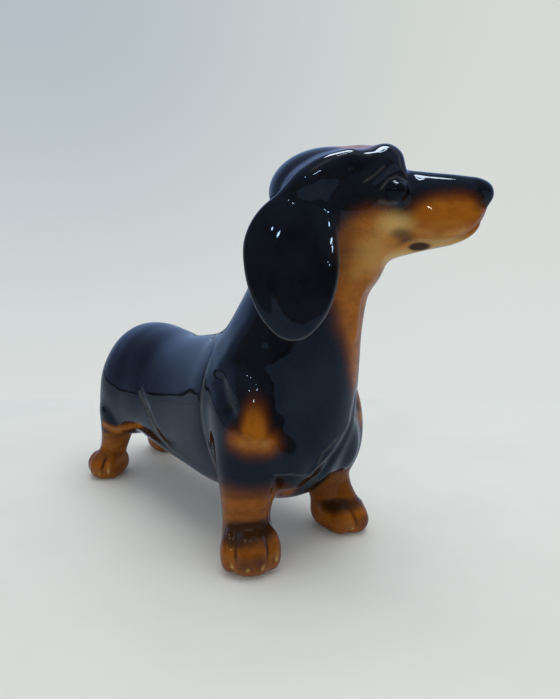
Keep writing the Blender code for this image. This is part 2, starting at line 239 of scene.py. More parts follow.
def to_head(points):
    """Points of the dog's layout, in the head's frame."""
    return (points - HEAD_AT) @ HEAD_AXES.T


def head_path(points, side):
    """Points given for the left side of the head, on either side of it, in the dog's layout."""
    return [in_head(x, side * y, z) for x, y, z in points]


def ellipsoid(centre, radii, axes=np.eye(3)):
    centre = np.array(centre, float)
    radii = np.array(radii, float)

    def distance(x, y, z):
        rel = (x - centre[0], y - centre[1], z - centre[2])
        own = [sum(float(axes[i, j]) * rel[j] for j in range(3)) for i in range(3)]
        level = np.sqrt(sum((own[i] / radii[i]) ** 2 for i in range(3)))
        slope = np.sqrt(sum((own[i] / radii[i] ** 2) ** 2 for i in range(3)))
        return level * (level - 1) / np.maximum(slope, 1e-6)

    reach = np.sqrt(((axes.T * radii) ** 2).sum(axis=1))
    return centre - reach, centre + reach, distance


def rod(start, end, start_radius, end_radius):
    """A straight rod with round ends that tapers from one radius to the other."""
    start = np.array(start, float)
    end = np.array(end, float)

    def distance(x, y, z):
        away, t = beside((x - start[0], y - start[1], z - start[2]), end - start)
        return away - (start_radius + (end_radius - start_radius) * t)

    reach = max(start_radius, end_radius)
    return np.minimum(start, end) - reach, np.maximum(start, end) + reach, distance


def smooth_rows(rows, middles, count):
    """Rows read evenly along a smooth curve through them, by the distance between their middles."""
    rows = np.array(rows, float)
    steps = np.linalg.norm(np.diff(np.array(middles, float), axis=0), axis=1)
    knots = np.concatenate([[0.0], np.cumsum(steps)])
    slopes = np.gradient(rows, knots, axis=0)
    at = np.linspace(0.0, knots[-1], count)
    index = np.clip(np.searchsorted(knots, at) - 1, 0, len(knots) - 2)
    span = (knots[index + 1] - knots[index])[:, None]
    t = (at - knots[index])[:, None] / span
    from_start = (2 * t**3 - 3 * t**2 + 1) * rows[index] + (t**3 - 2 * t**2 + t) * span * slopes[index]
    to_end = (3 * t**2 - 2 * t**3) * rows[index + 1] + (t**3 - t**2) * span * slopes[index + 1]
    return from_start + to_end


def swell(wave, power):
    """A sine or cosine made fuller, for rings that are squarer than an ellipse."""
    return np.sign(wave) * np.abs(wave) ** power


def skin(rings):
    """Points and outward quads over rings of points, closed with strips across the first and the last."""
    points = np.concatenate(rings)
    around = len(rings[0])
    faces = []
    for r in range(len(rings) - 1):
        for j in range(around):
            k = (j + 1) % around
            faces.append((r * around + j, r * around + k, (r + 1) * around + k, (r + 1) * around + j))
    for r, flip in ((0, False), (len(rings) - 1, True)):
        for j in range(around // 2 - 1):
            quad = [r * around + i for i in (j, (around - 1 - j) % around, around - 2 - j, j + 1)]
            faces.append(quad[::-1] if flip else quad)
    faces = np.array(faces)
    a, b, c, _ = (points[faces[:, i]] for i in range(4))
    volume = np.einsum("ij,ij->i", a, np.cross(b, c)).sum()
    return points, faces if volume > 0 else faces[:, ::-1].copy()


def loft(middles, across, ups, widths, rises, falls, domes, squareness, around):
    """The skin over elliptic rings, rounded off at both ends by domes of the given lengths."""
    turn = np.linspace(0.0, 2 * math.pi, around, endpoint=False)
    c = swell(np.cos(turn), 2 / squareness)
    s = swell(np.sin(turn), 2 / squareness)
    headings = np.cross(across, ups)
    headings *= np.sign((headings * np.gradient(middles, axis=0)).sum(axis=1))[:, None]

    def ring(k, scale, shift):
        rise = np.where(s > 0, s * rises[k], s * falls[k]) * scale
        return (middles[k] + headings[k] * shift + np.outer(c * widths[k] * scale, across[k])
                + np.outer(rise, ups[k]))

    dome_rings = 12
    dome_share = 0.985                     # short of the pole, where a ring would have no width
    quarter = np.linspace(0.0, math.pi / 2 * dome_share, dome_rings)
    rings = [ring(0, math.cos(a), -domes[0] * math.sin(a)) for a in quarter[:0:-1]]
    rings += [ring(k, 1.0, 0.0) for k in range(len(middles))]
    rings += [ring(len(middles) - 1, math.cos(a), domes[1] * math.sin(a)) for a in quarter[1:]]
    return skin(rings)


# ---------------------------------------------------------------- modelling the dog

def body_loft():
    rows = np.array(BODY_SECTIONS, float)
    middles = np.column_stack([(rows[:, 0] + rows[:, 2]) / 2, rows[:, 5], (rows[:, 1] + rows[:, 3]) / 2])
    rows = smooth_rows(rows, middles, count=90)
    upper = np.column_stack([rows[:, 0], rows[:, 5], rows[:, 1]])
    lower = np.column_stack([rows[:, 2], rows[:, 5], rows[:, 3]])
    height = np.linalg.norm(upper - lower, axis=1)
    ups = (upper - lower) / height[:, None]
    widest = 0.5 - BELLY_SAG * (1 - step(rows[:, 2], -40, 10))
    middles = lower + (upper - lower) * widest[:, None]
    across = np.tile([0.0, 1.0, 0.0], (len(rows), 1))
    return loft(middles, across, ups, rows[:, 4], height * (1 - widest), height * widest,
                domes=(6, 4), squareness=2.05, around=72)


def muzzle_loft():
    rows = np.array(MUZZLE_SECTIONS, float)
    middles = np.column_stack([rows[:, 0], rows[:, 0] * 0, rows[:, 1]])
    rows = smooth_rows(np.column_stack([middles, rows[:, 2:]]), middles, count=40)
    middles = HEAD_AT + rows[:, :3] @ HEAD_AXES
    across = np.tile(HEAD_AXES[1], (len(rows), 1))
    ups = np.tile(HEAD_AXES[2], (len(rows), 1))
    return loft(middles, across, ups, rows[:, 3], rows[:, 4], rows[:, 5],
                domes=(3, 4), squareness=2.3, around=64)


def ear_loft(side):
    """A leaf-shaped slab, bowed outwards, curled in at its edges, with a soft fold down its front third."""
    spine = np.array(EAR_SPINE, float)
    middles = np.column_stack([spine[:, 0], spine[:, 0] * 0, spine[:, 1]])
    rows = smooth_rows(spine, middles, count=60)
    turn = np.linspace(0.0, 2 * math.pi, 64, endpoint=False)
    edge = swell(np.cos(turn), 0.6)        # from -1 at the back edge to 1 at the front one
    face = swell(np.sin(turn), 0.5)        # from -1 on the inner face to 1 on the outer one
    crest = np.sqrt((edge + 0.25) ** 2 + 0.02)
    groove = np.exp(-((edge - 0.25) / 0.35) ** 2)
    rings = []
    for index, (x, z, half) in enumerate(rows):
        down = index / (len(rows) - 1)
        bow = 12.0 + 7.0 * math.sin(min(1.0, 1.6 * down) * math.pi / 2)
        flare = EAR_FLARE[side] * down**1.3
        curl = 1.5 * crest * math.sin(math.pi * min(1.0, 0.15 + down))
        ridge = np.exp(-((edge + 0.45 - 0.2 * down) / 0.18) ** 2)
        wave = (0.5 * ridge - 0.5 * groove) * math.sin(math.pi * down**1.6) ** 2
        end = max(1 - abs(2 * down - 1) ** 10, 0.02) ** 0.5
        out = bow + flare - curl + wave
        own = np.column_stack([x + edge * half, side * (out + face * EAR_THICKNESS / 2 * end), z + 0 * edge])
        rings.append(HEAD_AT + own @ HEAD_AXES)
    return skin(rings)


PAWS = {
    # middle of the paw on the floor, turn in degrees, then length, width and height
    "foreleg_right": ((0.7, -24.2), -35, (25.0, 20.5, 15.5)),
    "foreleg_left": ((1.2, 19.5), 17, (22.5, 17.5, 12.5)),
    "hindleg_right": ((-107.3, -22.6), -72, (20.5, 15.5, 12.5)),
    "hindleg_left": ((-122.0, 16.4), 18, (19.5, 16.5, 12.5)),
}
INSTEPS = {
    # height where it leaves the leg, then how far forward and up it ends and its radius, in shares of the paw
    "foreleg_right": (13, 0.06, 0.46, 0.26),
    "foreleg_left": (18, 0.34, 0.34, 0.24),
    "hindleg_right": (16, 0.18, 0.44, 0.25),
    "hindleg_left": (16, 0.18, 0.44, 0.25),
}
TOES = (-1.5, -0.5, 0.5, 1.5)              # counted from the middle of the paw


def in_paw(place, turn, size):
    """Places a point given in lengths, widths and heights of the paw."""
    return lambda x, y, z: np.array([*place, 0.0]) + axes_of(turn).T @ (np.array([x, y, z]) * size)


def toe_grooves(place, turn, size):
    """The three lines between the toes, from the top of the paw to the floor."""
    at = in_paw(place, turn, size)
    return [[at(0.10, gap * 0.19, 0.92), at(0.30, gap * 0.235, 0.74), at(0.42, gap * 0.26, 0.46),
             at(0.44, gap * 0.26, 0.22)] for gap in (-1, 0, 1)]


def model_paw(clay, place, turn, size, ankle, ankle_radius, instep):
    """A round pad and four soft toes, with an instep that runs up to the ankle."""
    length, width, height = size
    axes = axes_of(turn)
    at = in_paw(place, turn, size)
    clay.add(ellipsoid(at(-0.08, 0, 0.44), (0.43 * length, 0.46 * width, 0.56 * height), axes), 4)
    clay.add(ellipsoid(at(0.14, 0, 0.40), (0.33 * length, 0.43 * width, 0.48 * height), axes), 3)
    start, forward, up, radius = instep
    clay.add(rod((*ankle, start), at(forward, 0, up), 0.8 * ankle_radius, radius * width), 4)
    toe_radii = (0.27 * length, 0.15 * width, 0.47 * height)
    for toe in TOES:
        splayed = axes_of(turn + 9 * toe)
        front = 0.18 - 0.045 * toe**2
        clay.add(ellipsoid(at(front, toe * 0.22, 0.44), toe_radii, splayed), 2.6)
    for groove in toe_grooves(place, turn, size):
        clay.crease(groove, 0.8, 0.55)


MUSCLES = (
    # on both sides of the body: middle, radii, heading to the side and pitch in degrees, fillet
    ((-100.5, 14.5, 39), (16, 11, 18.5), 0, 12, 6),
    ((-85, 16, 39.5), (20, 8.4, 11), -4, 20, 4),
    ((-106.5, 15, 32), (9.5, 9.8, 12), 0, 12, 5),
    ((-5, 21, 44), (13.5, 9, 23), 0, 12, 7),
    ((5.5, 12.5, 38), (8.5, 8, 12), 0, 10, 5),
)
SKULL = (
    # on the middle of the head, in its frame: middle, radii, fillet
    ((0.5, 0, 1.8), (19.5, 14.9, 13.9), 8),
    ((11, 0, 1.5), (11, 11.5, 14.3), 6),
    ((7, 0, -9), (15.5, 12.5, 12), 8),
    ((12, 0, -19), (5.5, 9, 8), 9),
    ((16.2, 0, 8.8), (5.5, 6, 5.6), 4),
)
CHEEKS = (
    # the same on both sides of the head: lips, brow, temple, cheek and the filling between the last two
    ((34.6, 3.3, -6.6), (12.6, 5.4, 8.3), 2.5),
    ((17.6, 5.4, 10), (5, 4.8, 5.5), 5),
    ((5, 7.6, 1.5), (13, 7.2, 9.5), 4),
    ((3, 8.2, -5), (12.5, 8.2, 12), 5),
    ((-1.5, 9.2, 0.5), (10, 7, 8), 4),
)
TEMPLE_RIDGE = ((-9, 12.9, -0.8), (-4.8, 12.7, 2.9), (-1, 12.3, 5.2), (2, 11.6, 6.6), (6.6, 10, 8),
                (12.4, 8.3, 8), (16, 6.3, 8.6))


def model_body():
    clay = Clay((-140, -42, -3), (60, 44, 146))
    clay.add_mesh(*body_loft(), 0)
    for side in (-1, 1):
        for (x, y, z), radii, yaw, pitch, blend in MUSCLES:
            clay.add(ellipsoid((x, y * side, z), radii, axes_of(yaw * side, pitch)), blend)
    model_head(clay)
    return clay


def model_head(clay):
    for middle, radii, blend in SKULL:
        clay.add(ellipsoid(in_head(*middle), radii, HEAD_AXES), blend)
    clay.add_mesh(*muzzle_loft(), 5)
    clay.add(rod(in_head(18, 0, -12), in_head(38, 0, -12.2), 7, 2.6), 4)
    for side in (-1, 1):
        for (x, y, z), radii, blend in CHEEKS:
            clay.add(ellipsoid(in_head(x, y * side, z), radii, HEAD_AXES), blend)
        clay.add(rod(*head_path(((20.4, 5, 11), (22.3, 5.6, 5.5)), side), 2.4, 1.8), 2.5)
        ridge = head_path(TEMPLE_RIDGE, side)
        for near, far in zip(ridge[:-1], ridge[1:]):
            clay.add(rod(near, far, 4.2, 4.2), 5)
        clay.add(rod(*head_path(((29, 2.6, 0.9), (42.5, 2.4, 0.1)), side), 4.6, 4.2), 3)
    clay.add(ellipsoid(in_head(46.6, 0, 0.9), (4.4, 5.0, 4.4), HEAD_AXES), 2)


def eye_shape(side):
    middle = in_head(EYE_AT[0], side * (EYE_AT[1] - EYE_SUNK), EYE_AT[2] + EYE_RAISED)
    return ellipsoid(middle, EYE_RADII, HEAD_AXES)


HEAD_CREASES = (
    # on both sides of the head, in its frame: width, depth (negative for a ridge), then points
    # temple, and the brow
    (1.7, 0.6, ((6, 14.8, 6), (10.5, 13.4, 7.4), (14, 12, 9))),
    (1.4, -1.7, ((7.4, 13.6, 2.6), (11.2, 12.8, 3.3), (14.1, 11.8, 5.1), (16.9, 10.8, 7.8),
                 (18.4, 10.2, 9.6))),
    # fold above the upper lid, both lids, and the lines between lids and eye
    (1.0, 0.5, ((16, 11.8, 1), (17.6, 11.6, 4.8), (20.6, 10.2, 6.6), (23.6, 8.8, 5.2))),
    (1.0, -0.9, ((16.1, 11.8, 1.4), (18.1, 10.8, 4.2), (21, 9.3, 5.4), (24.1, 8.2, 3.8), (25.2, 8.6, 0.8))),
    (1.2, -0.9, ((15.4, 12.4, -1.9), (18.5, 11.8, -2.4), (21.6, 10.7, -2), (24.2, 9.2, -0.6))),
    (0.7, 0.5, ((16.8, 12.6, 0.6), (18.6, 12.4, 3.4), (21, 11.6, 4.2), (23.2, 10.4, 2.8))),
    (0.7, 0.5, ((17, 12.6, -0.6), (19.8, 12.8, -1.9), (22.6, 11.4, -1.2))),
    # hollow behind the lips, mouth and its corner
    (2.2, 0.5, ((26.2, 9.4, -6), (24, 10.6, -10), (25.5, 9.6, -14))),
    (0.8, 1.1, ((47.4, 3, -6), (44.8, 5.2, -8.8), (41.8, 6.2, -11.4), (37.8, 5.9, -13.8),
                (32.9, 5.4, -14.4), (27.4, 5.9, -14))),
    (1.6, 1.0, ((30, 4.6, -15), (27.6, 5, -15))),
    # nostril, and the edge of the nose
    (0.8, 1.4, ((46.7, 4.4, 0.8), (48, 4.0, -0.1), (48.8, 3.1, -1.5))),
    (1.0, 0.5, ((45.2, 5, 3.4), (45.6, 5.4, 0.4), (46.8, 4.6, -2.8))),
)
NOSE_GROOVE = ((51, 0, -1.5), (50, 0, -4.5), (48, 0, -8.5))


def carve_head(clay):
    """Lids, sockets, temples, mouth and nostrils, the same on both sides."""
    for side in (-1, 1):
        for width, depth, points in HEAD_CREASES:
            clay.crease(head_path(points, side), width, depth)
    clay.crease(head_path(NOSE_GROOVE, 1), 0.8, 0.7)


SHOULDER_LINE = ((-25, 21.5, 67.5), (-24.6, 24, 62), (-24.2, 26, 56.7), (-23.6, 27, 51.6),
                 (-22, 27.3, 44.7), (-19.8, 27, 38), (-18.6, 26.5, 31), (-15, 26.5, 24))
BODY_FOLDS = (
    # on both sides of the body: width, depth (negative for a ridge), then points
    (0.9, 0.45, ((-26.5, 17, 71), *SHOULDER_LINE)),
    # hollow of the shoulder and its floor
    (5.0, 1.5, ((-11, 27, 61), (-4, 28.5, 55.5))),
    (2.0, 0.5, ((-10, 27, 60), (-3, 28.5, 55))),
    # crest and fold of the neck
    (4.5, -0.8, ((-4, 18, 82), (-9.5, 21, 74), (-15, 23.5, 67))),
    (1.8, 0.5, ((3, 19.5, 74), (1.5, 21, 69.5), (0.5, 22.6, 64.7))),
    # groove and hollow at the side of the chest
    (1.6, 0.35, ((5, 20.5, 67), (5.3, 22, 60), (6.2, 23.3, 53))),
    (4.0, 0.7, ((10, 18, 64), (11, 18.5, 55))),
    # front of the stifle, and the fold of the flank
    (1.2, 1.0, ((-76, 24, 50), (-71, 24.4, 45), (-66.5, 24.3, 40.5), (-63.5, 23.5, 36))),
    (1.8, 0.5, ((-63.5, 23.5, 36), (-57, 22, 29), (-50, 20, 24))),
)
MIDDLE_FOLDS = (
    # the same for the middle of the chest and the back, not mirrored
    # withers
    (6.0, -0.6, ((-33, -14, 75.5), (-34, 0, 78), (-33, 14, 75.5))),
    # fold and ridge of the left arm
    (2.0, 1.3, ((17, 11.5, 56), (16.5, 9.5, 47), (17, 4, 41.5), (15.5, 0, 36), (13, -2, 30))),
    (1.3, -0.6, ((17.4, 6.5, 47), (16.4, 1.9, 40.5), (15.6, -3.6, 36), (13.4, -7.8, 32.4))),
    # lower edge of the chest, fold of the right arm, fold of the throat
    (1.4, -0.6, ((9.4, -20.4, 33.2), (12, -16, 33.3), (12.9, -7.7, 30.8))),
    (1.2, 0.9, ((9.3, -20, 31.4), (5.6, -17.4, 24), (3.1, -16.6, 14.7))),
    (1.6, -0.6, ((25, 4, 96), (22.5, 4.5, 88), (21, 5, 78))),
)


def carve_body(clay):
    for width, depth, points in BODY_FOLDS:
        for side in (-1, 1):
            clay.crease([(x, side * y, z) for x, y, z in points], width, depth)
    for width, depth, points in MIDDLE_FOLDS:
        clay.crease(points, width, depth)


LEGS = {
    # top and its radius, ankle and its radius, fillet against the body
    "foreleg_right": ((-5, -21, 34), 9.5, (-3.5, -22.3, 11), 7.9, 8),
    "foreleg_left": ((-8, 17, 34), 9.6, (-3.4, 19.2, 11), 7.6, 8),
    "hindleg_right": ((-103.8, -18, 30), 8.8, (-107, -20, 11), 5.2, 2.5),
    "hindleg_left": ((-108, 16.5, 30), 8.8, (-122, 16.5, 10), 5.8, 2.5),
}


def model_limbs(clay):
    for name, (top, top_radius, ankle, ankle_radius, blend) in LEGS.items():
        clay.add(rod(top, ankle, top_radius, ankle_radius), blend)
        model_paw(clay, *PAWS[name], ankle[:2], ankle_radius, INSTEPS[name])
    for near, far in zip(TAIL[:-1], TAIL[1:]):
        clay.add(rod(near[:3], far[:3], near[3], far[3]), 3)


EAR_CREASES = (
    # the fold down the front of each ear and the ridge over its root: width, depth, then points
    (1.1, 0.7, ((-1.4, 16, 5.4), (-1.2, 17, -1.5), (0.2, 18.4, -7), (1.4, 19.2, -12), (0.8, 19.4, -20))),
    (2.2, -1.0, ((-8.1, 15.7, 2.9), (-4.2, 15.5, 6.6), (-0.4, 15.1, 9), (2.4, 14.3, 10.4),
                 (7.2, 12.7, 11.8))),
)


def add_ears(clay):
    """The roots flow into the skull, the rest of each ear stands clear of it."""
    rising = np.clip((clay.heights() - HEAD_AT[2] + 4) / 10, 0, 1)
    for side in (-1, 1):
        clay.add_mesh(*ear_loft(side), 1 + 5 * rising)
        for width, depth, points in EAR_CREASES:
            clay.crease(head_path(points, side), width, depth)


# ---------------------------------------------------------------- surface

def sample(clay, points):
    """Distances read between the voxels."""
    at = points / GRAIN - clay.first
    low = np.clip(np.floor(at).astype(int), 0, clay.size - 2)
    part = at - low
    total = 0
    for corner in np.ndindex(2, 2, 2):
        weight = np.prod([part[:, i] if corner[i] else 1 - part[:, i] for i in range(3)], axis=0)
        total = total + weight * clay.d[low[:, 0] + corner[0], low[:, 1] + corner[1], low[:, 2] + corner[2]]
    return total


def slopes(clay, points):
    """Outward normals, and how sharply the surface bends, positive on ridges."""
    here = sample(clay, points)
    reach = 1.1 * GRAIN
    normal = []
    bend = -6 * here
    for axis in np.eye(3):
        ahead = sample(clay, points + axis * reach)
        behind = sample(clay, points - axis * reach)
        normal.append(ahead - behind)
        bend = bend + ahead + behind
    normal = np.array(normal).T
    normal /= np.linalg.norm(normal, axis=1)[:, None] + 1e-9
    return here, normal, bend / reach**2


class Surface:
    """The outer skin as triangles, each owned by one piece."""

    def __init__(self, clay):
        self.clay = clay
        grid = openvdb.FloatGrid()
        grid.background = REACH
        grid.transform = openvdb.createLinearTransform(GRAIN)
        grid.copyFromArray(np.ascontiguousarray(clay.d), ijk=tuple(int(v) for v in clay.first))
        found = grid.convertToPolygons(isovalue=0.0)
        self.points = found[0].astype(float)
        quads = [part for part in found[1:] if part.shape[1] == 4][0].astype(int)
        self.faces = np.concatenate([quads[:, [0, 1, 2]], quads[:, [0, 2, 3]]])
        for _ in range(2):
            here, normal, _ = slopes(clay, self.points)
            self.points -= normal * np.clip(here, -0.4 * GRAIN, 0.4 * GRAIN)[:, None]
        a, b, c = (self.points[self.faces[:, i]] for i in range(3))
        if np.einsum("ij,ij->i", a, np.cross(b, c)).sum() < 0:
            self.faces = self.faces[:, ::-1].copy()
        self.owner = np.full(len(self.faces), "body", dtype=object)

    def part(self, source, level, inside):
        """Cuts the faces of one owner where level is zero; those where it is negative go to another owner."""
        value = level(self.points)
        least = 0.05 * GRAIN               # keeps the cut off the points, so that no sliver is left
        value = np.where(value < 0, np.minimum(value, -least), np.maximum(value, least))
        below = (value < 0)[self.faces]
        count = below.sum(axis=1)
        mine = self.owner == source
        self.owner[mine & (count == 3)] = inside
        mixed = mine & (count % 3 != 0)
        faces = self.faces[mixed]
        tip_below = count[mixed] == 1
        tip = np.argmax(below[mixed] == tip_below[:, None], axis=1)
        rows = np.arange(len(faces))
        a, b, c = (faces[rows, (tip + shift) % 3] for shift in range(3))
        edges = np.sort(np.concatenate([np.column_stack([a, b]), np.column_stack([a, c])]), axis=1)
        edges, back = np.unique(edges, axis=0, return_inverse=True)
        p, q = edges.T
        share = value[p] / (value[p] - value[q])
        fresh = self.points[p] + (self.points[q] - self.points[p]) * share[:, None]
        near, far = len(self.points) + back.ravel().reshape(2, -1)
        self.points = np.concatenate([self.points, fresh])
        self.faces = np.concatenate([self.faces[~mixed], np.column_stack([a, near, far]),
                                     np.column_stack([near, b, c]), np.column_stack([near, c, far])])
        tips = np.where(tip_below, inside, source)
        rests = np.where(tip_below, source, inside)
        self.owner = np.concatenate([self.owner[~mixed], tips, rests, rests]).astype(object)

    def rename(self, source, owner):
        self.owner[self.owner == source] = owner

    def piece(self, owner):
        """Points, faces and the number of outer faces of one piece, its openings closed with fans."""
        faces = self.faces[self.owner == owner]
        used, faces = np.unique(faces, return_inverse=True)
        faces = faces.reshape(-1, 3)
        points = self.points[used]
        edges = np.concatenate([faces[:, [0, 1]], faces[:, [1, 2]], faces[:, [2, 0]]])
        code = edges[:, 0] * len(points) + edges[:, 1]
        mate = edges[:, 1] * len(points) + edges[:, 0]
        rim = edges[~np.isin(code, mate)]
        outer = len(faces)
        caps = []
        extra = []
        for loop in rim_loops(rim):
            middle = len(points) + len(extra)
            extra.append(points[loop[:, 0]].mean(axis=0))
            caps.append(np.column_stack([loop[:, 1], loop[:, 0], np.full(len(loop), middle)]))
        if caps:
            faces = np.concatenate([faces, *caps])
            points = np.concatenate([points, np.array(extra)])
        return points, faces, outer


def rim_loops(edges):
    """Open edges sorted into loops."""
    follow = {}
    for a, b in edges:
        follow.setdefault(int(a), []).append(int(b))
    loops = []
    while follow:
        start = next(iter(follow))
        loop = []
        here = start
        while here in follow:
            after = follow[here].pop()
            if not follow[here]:
                del follow[here]
            loop.append((here, after))
            here = after
            if here == start:
                break
        loops.append(np.array(loop))
    return loops


def plane(upper, lower):
    """Signed distance to a joint plane that crosses the side view through two points, positive in front."""
    upper = np.array([upper[0], 0.0, upper[1]])
    down = np.array([lower[0], 0.0, lower[1]]) - upper
    down /= np.linalg.norm(down)
    normal = np.array([-down[2], 0.0, down[0]])
    return lambda points: (points - upper) @ normal


def cut_up(surface, bare, earless):
    """Cuts the skin along the joints of the cast pieces, at small distances from what was there before."""
    for side, name in ((-1, "eye_right"), (1, "eye_left")):
        distance = eye_shape(side)[2]
        surface.part("body", lambda p: distance(*p.T) - 0.35, name)
    surface.part("body", lambda p: 0.45 - sample(earless, p), "ears")
    surface.part("ears", lambda p: to_head(p)[:, 1], "ear_right")
    surface.rename("ears", "ear_left")
    surface.part("body", lambda p: 1.4 - sample(bare, p), "limbs")
    tail = np.array(TAIL)[:, :3]
    surface.part("limbs", lambda p: path_distance(p.T, tail) - 8.5, "tail")
    surface.part("limbs", lambda p: -60 - p[:, 0], "forelegs")
    surface.part("forelegs", lambda p: p[:, 1], "foreleg_right")
    surface.rename("forelegs", "foreleg_left")
    surface.part("limbs", lambda p: p[:, 1], "hindleg_right")
    surface.rename("limbs", "hindleg_left")
    surface.part("body", lambda p: -plane(*NECK_JOINT)(p), "head_shell")
    surface.part("body", lambda p: -plane(*SEAM)(p), "front_body_shell")
    surface.rename("body", "rear_body_shell")


# ---------------------------------------------------------------- paint

def stroke(points, path, radius, soft):
    """How much colour a pass of the airbrush along a path leaves; path rows end with a width factor."""
    path = np.array(path, float)
    best = np.full(len(points), 1e3)
    for start, end in zip(path[:-1], path[1:]):
        away, t = beside((points - start[:3]).T, (end - start)[:3])
        best = np.minimum(best, away - radius * (start[3] + (end[3] - start[3]) * t))
    return 1 - step(best, -soft, soft)


def blob(points, centre, radii, soft):
    level = np.linalg.norm((points - np.array(centre)) / np.array(radii), axis=1)
    return 1 - step(level, 1 - soft, 1 + soft)


THROAT = ((24, 3, 106, 1.5), (22.5, 3.5, 96, 1.35), (20.5, 5, 86, 1.05), (19.5, 7, 77, 0.8),
          (19, 8, 68, 0.6), (17.5, 9, 60, 0.35))
STOCKINGS = (
    # x and y of each leg, then the height where its amber ends, and how softly
    (-3, -22, 29, 6),
    (-3, 20, 26.5, 6),
    (-106, -20, 23, 3),
    (-116, 17, 23, 3),
)
STROKES = (
    # on the dog as it stands or on both sides of body or head: layer, radius, softness and strength,
    # then points with a share of the radius
    ("body", "amber", 2.4, 1.8, 1, ((-103, 25, 26, 1), (-98, 22, 23.5, 1), (-87, 21, 27, 1),
                                    (-74, 22, 32, 0.5))),
    ("body", "amber", 3.5, 2.5, 0.8, ((-32, 20, 19, 0.6), (-20, 21, 19, 1))),
    ("body", "amber", 4.2, 5.6, 1, ((-0.5, 29, 45.2, 0.8), (4, 27, 44.8, 1), (9, 22.6, 44.4, 0.9))),
    ("body", "cream", 1.2, 3.6, 0.45, ((2, 28, 44.6, 1), (8, 23.5, 44.4, 1))),
    ("dog", "amber", 9, 6.5, 1, THROAT),
    ("dog", "cream", 3, 8, 0.5, ((29, 10, 106, 1), (25, 11, 95, 1), (22, 10, 84, 0.3))),
    ("head", "amber", 3.4, 1.8, 1, ((43, 6, -10, 1.2), (47, 4, -6.5, 1))),
    ("head", "cream", 3, 7, 0.55, ((22, 9, -9.5, 1), (16.6, 11, -12.5, 1.1), (14.5, 10, -18, 1.3),
                                   (10, 10, -23, 1))),
    ("head", "cream", 1.2, 3.2, 0.6, ((25, 8, -10, 0.6), (34, 8, -12.5, 1), (41, 7, -10.5, 1))),
    ("head", "brown", 0.3, 0.6, 0.7, ((48.2, 3, -6.2, 1), (45.6, 5, -9.2, 1), (42.4, 6, -12, 1),
                                      (37.8, 5.6, -14.2, 1), (33, 5, -14.8, 1))),
)
BLOBS = (
    # on both sides of the head, in its frame: layer, middle, radii, softness, strength
    ("amber", (14, 12, -15), (12.5, 9, 11.5), 0.5, 1),
    ("amber", (37, 8, -8.7), (14.2, 9.6, 9.4), 0.5, 1),
    ("amber", (30, 0, -20), (22, 14, 8), 0.3, 1),
    ("amber", (8.5, 0, 15.6), (7, 12.5, 4), 0.45, 1),
    ("cream", (8.5, 0, 15.6), (5, 9, 3), 0.8, 0.45),
    ("cream", (21, 10, -8.6), (6, 8, 4), 0.9, 0.75),
    ("cream", (24, 3, -19), (10, 7, 4), 0.9, 0.85),
    ("cream", (16, 10, -18), (9, 9, 7.5), 0.9, 0.5),
    ("cream", (37, 6, -15.5), (13, 8, 3.6), 0.7, 0.7),
    # brown in the hollow behind the lips and in the corner of the mouth: painted shade in these recesses
    ("brown", (22.4, 9, -11.2), (3.6, 6, 2), 0.7, 0.6),
    ("brown", (28.8, 4.5, -15.2), (3.6, 5, 1.4), 0.4, 1),
)
# Passes that need a mask of their own: the fading strip on the shoulder, and painted shade behind the cheek,
# down the front of the ear.
SHOULDER_STRIP = ((5.5, 26, 47, 1.2), (4.8, 25.5, 56, 1.15), (4.2, 25, 65, 1))
CHEEK_SHADE = ((7, 14, -4, 1), (6, 14, -14, 1), (4, 13, -26, 1))
BODY_HIGHLIGHTS = (
    # painted highlights and reflections on both sides of the body, along the seam behind the shoulder, in the
    # hollow of the shoulder and on the folds of stifle, flank and thigh: width, strength, then points
    (1.2, 0.5, SHOULDER_LINE),
    (2.2, 0.2, ((-10.5, 26.5, 62), (-6, 27.5, 57), (-1.5, 28, 53.5))),
    (1.8, 0.5, ((-74, 24, 46), (-69, 24.4, 41.5), (-64.5, 23.5, 36))),
    (2.0, 0.6, ((-66, 24, 36.5), (-60, 22, 30), (-52, 20, 24))),
    (0.8, 0.6, ((-103, 25, 26.5), (-98, 22, 24), (-87, 21, 27.5))),
)
CHEST_HIGHLIGHTS = (
    # painted highlights on the folds of the chest and the left arm and on the lower edge of the chest, not
    # mirrored
    (0.8, 0.5, ((17.5, 10, 56), (17.4, 8, 48), (16.3, 3.9, 42.1), (15.6, -2.6, 36.9), (13.6, -7.4, 32.4))),
    (0.7, 0.4, ((17.2, 0.9, 43.6), (16.2, -4.7, 39.4), (14.8, -6, 35))),
    (0.6, 0.45, ((9.6, -20.8, 33.6), (12.4, -16.4, 33.8), (13, -7.7, 31.2))),
)
HEAD_HIGHLIGHTS = (
    # pale lines on the lids, and painted highlights along the temple, orbit and brow ridges and the edge of
    # the lips, the same for both sides of the head, in its own frame
    (1.1, 0.4, ((16, 12.6, -2), (18.4, 12, -2.4), (21, 11.2, -2.2))),
    (0.6, 0.4, ((16.3, 12, 1.8), (18.1, 11, 4.4), (21, 9.5, 5.6), (23.9, 8.6, 4.2))),
    (0.7, 0.25, ((-4.2, 15.7, 6.6), (-0.4, 15.3, 9), (2.4, 14.5, 10.4), (7.2, 12.9, 11.8), (13, 11.2, 11.5))),
    (0.5, 0.6, ((48, 3.6, -5.4), (45.4, 5.8, -8.2), (42.2, 7, -11), (37.8, 6.6, -13.2), (32.9, 6.1, -13.8))),
    (0.6, 0.35, ((11.2, 13.4, 3.6), (14.1, 12.4, 5.4), (16.9, 11.4, 8.1))),
    (0.7, 0.35, ((18.8, 8.8, 14.2), (21.3, 8.9, 11.8), (22, 8.4, 8.5), (24.1, 6.8, 5.8))),
)


def one_sided(points):
    """Points with those of the right side mirrored on to the left one."""
    return np.column_stack([points[:, 0], np.abs(points[:, 1]), points[:, 2]])


